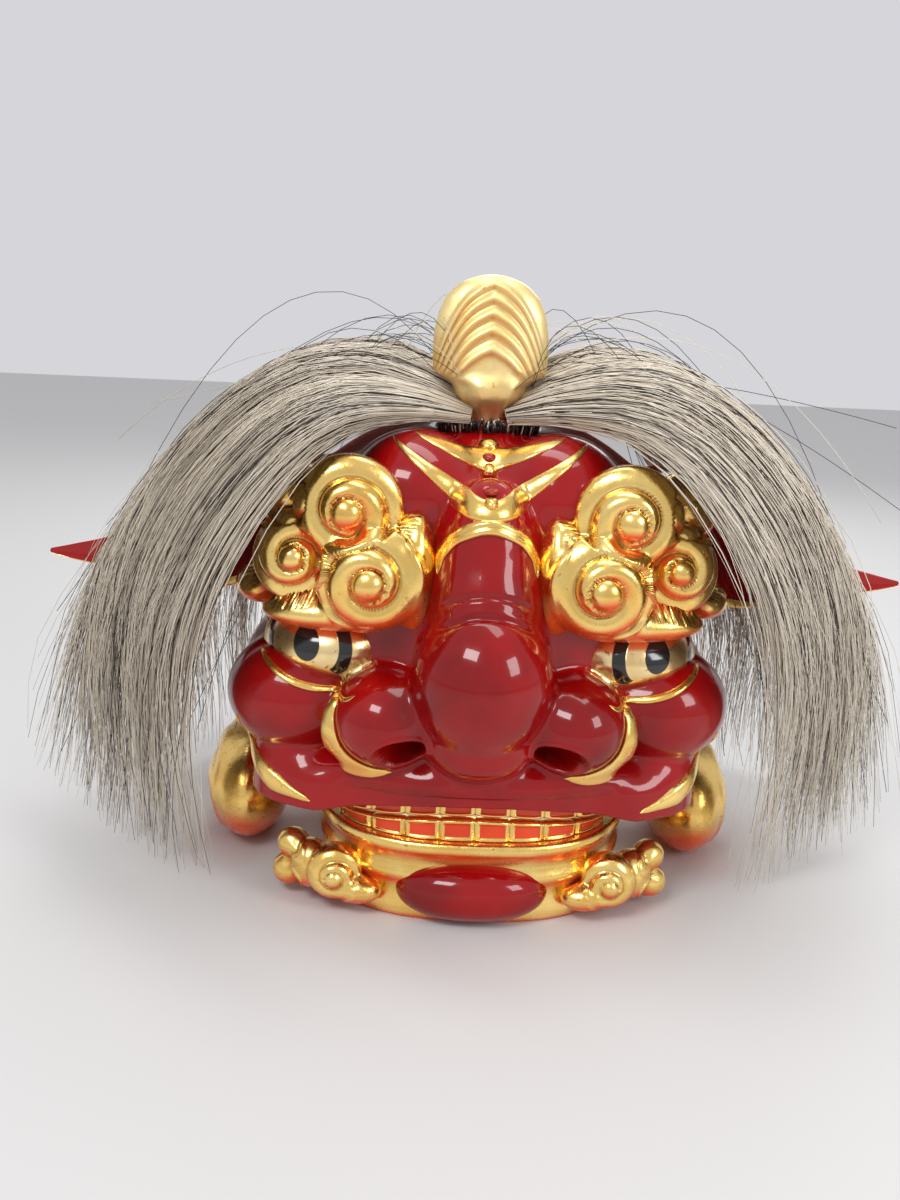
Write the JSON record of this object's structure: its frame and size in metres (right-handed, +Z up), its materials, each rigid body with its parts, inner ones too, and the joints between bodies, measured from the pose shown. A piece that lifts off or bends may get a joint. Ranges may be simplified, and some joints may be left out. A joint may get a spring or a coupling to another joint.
{
  "type": "lion dance head",
  "caption": "Hollow carved lion mask head in red lacquer and gold leaf, with a hinged lower jaw, a crest jewel, side ears and a long horsehair mane.",
  "frame": {"origin": "on the floor under the crest, in the middle of the jaw's sole", "axes": "+X to the right as seen from in front, the face looks along -Y, +Z up"},
  "size_m": [0.58, 0.3337, 0.3788],
  "materials": {
    "red_lacquer": "glossy red lacquer on carved wood",
    "gold_leaf": "gold leaf on carved wood, gloss",
    "gilt_teeth": "gold leaf on carved wood, gloss",
    "plain_wood": "plain turned wood",
    "horsehair": "pale horsehair with dark strands"
  },
  "bodies": {
    "head": {"head_shell": "red_lacquer", "brow_left": "gold_leaf", "brow_right": "gold_leaf", "eye_left": "gold_leaf", "eye_right": "gold_leaf", "upper_teeth": "gilt_teeth", "nostril_trim_left": "gold_leaf", "nostril_trim_right": "gold_leaf", "cheek_edge_left": "gold_leaf", "cheek_edge_right": "gold_leaf", "nose_arch": "gold_leaf", "forehead_band_upper": "gold_leaf", "forehead_band_lower": "gold_leaf", "forehead_knob": "gold_leaf", "forehead_bead": "red_lacquer", "crest_jewel": "gold_leaf", "hair_root": "horsehair", "ear_left": "red_lacquer", "ear_right": "red_lacquer", "cheek_curl_left": "gold_leaf", "cheek_curl_right": "gold_leaf", "jaw_rod": "plain_wood", "mane_front_left": "horsehair", "mane_front_right": "horsehair", "mane_rear_left": "horsehair", "mane_rear_right": "horsehair"},
    "jaw": {"jaw_frame": "gold_leaf", "jaw_floor": "red_lacquer", "jaw_scroll_left": "gold_leaf", "jaw_scroll_right": "gold_leaf", "lower_teeth": "gilt_teeth", "chin": "red_lacquer"}
  },
  "joints": [
    {"name": "jaw_hinge", "type": "hinge", "parent": "head", "child": "jaw", "pos_m": [0, 0.062, 0.03], "axis": [1, 0, 0], "range_deg": [0, 25]}
  ]
}
